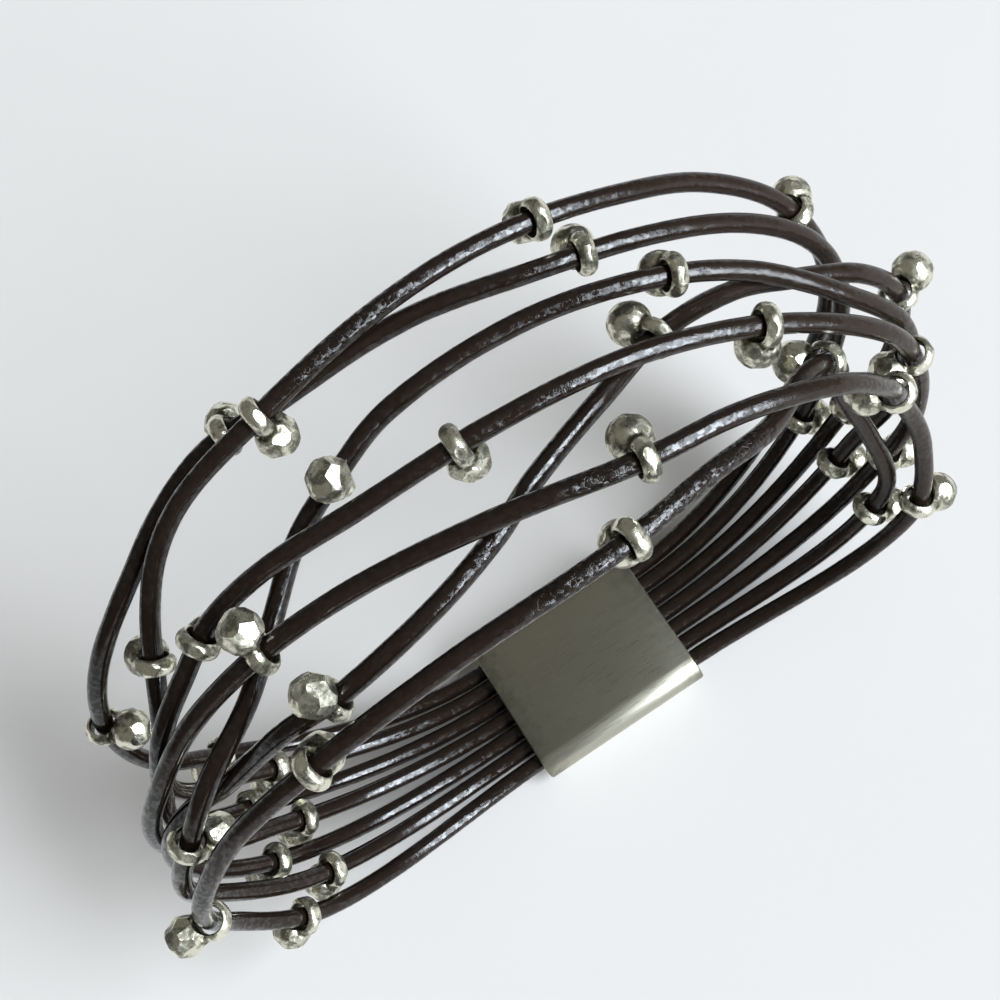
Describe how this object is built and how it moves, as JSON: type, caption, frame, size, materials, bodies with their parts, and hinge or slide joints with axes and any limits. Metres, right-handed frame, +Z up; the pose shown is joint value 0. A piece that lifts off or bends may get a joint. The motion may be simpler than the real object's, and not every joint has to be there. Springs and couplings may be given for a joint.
{
  "type": "multi-strand leather bracelet with metal beads",
  "caption": "Loop of thin round leather cords that weave over and under one another, strung with small ball-and-ring metal beads and joined by a plain bar clasp.",
  "frame": {"origin": "middle of the wrist that the loop goes round, at the centre of the hollow's width and height", "axes": "+X across the wrist, +Y along the arm, +Z up through the middle of the upper cords, with the clasp underneath"},
  "size_m": [0.0754, 0.0284, 0.0483],
  "materials": {
    "leather": "dark brown round cord, semi-gloss, with fine cracks across it",
    "bead_metal": "antique silver casting with hammered flats, bright on its high places and dark in its recesses",
    "clasp_metal": "antique silver, satin"
  },
  "bodies": {
    "root": {"strand_1": "leather", "strand_2": "leather", "strand_3": "leather", "strand_4": "leather", "strand_5": "leather", "strand_6": "leather", "strand_7": "leather", "bead_01": "bead_metal", "bead_02": "bead_metal", "bead_03": "bead_metal", "bead_04": "bead_metal", "bead_05": "bead_metal", "bead_06": "bead_metal", "bead_07": "bead_metal", "bead_08": "bead_metal", "bead_09": "bead_metal", "bead_10": "bead_metal", "bead_11": "bead_metal", "bead_12": "bead_metal", "bead_13": "bead_metal", "bead_14": "bead_metal", "bead_15": "bead_metal", "bead_16": "bead_metal", "bead_17": "bead_metal", "bead_18": "bead_metal", "bead_19": "bead_metal", "bead_20": "bead_metal", "bead_21": "bead_metal", "bead_22": "bead_metal", "bead_23": "bead_metal", "bead_24": "bead_metal", "bead_25": "bead_metal", "bead_26": "bead_metal", "bead_27": "bead_metal", "bead_28": "bead_metal", "bead_29": "bead_metal", "bead_30": "bead_metal", "bead_31": "bead_metal", "bead_32": "bead_metal", "bead_33": "bead_metal", "bead_34": "bead_metal", "bead_35": "bead_metal", "bead_36": "bead_metal", "bead_37": "bead_metal", "bead_38": "bead_metal", "clasp": "clasp_metal"}
  },
  "joints": []
}
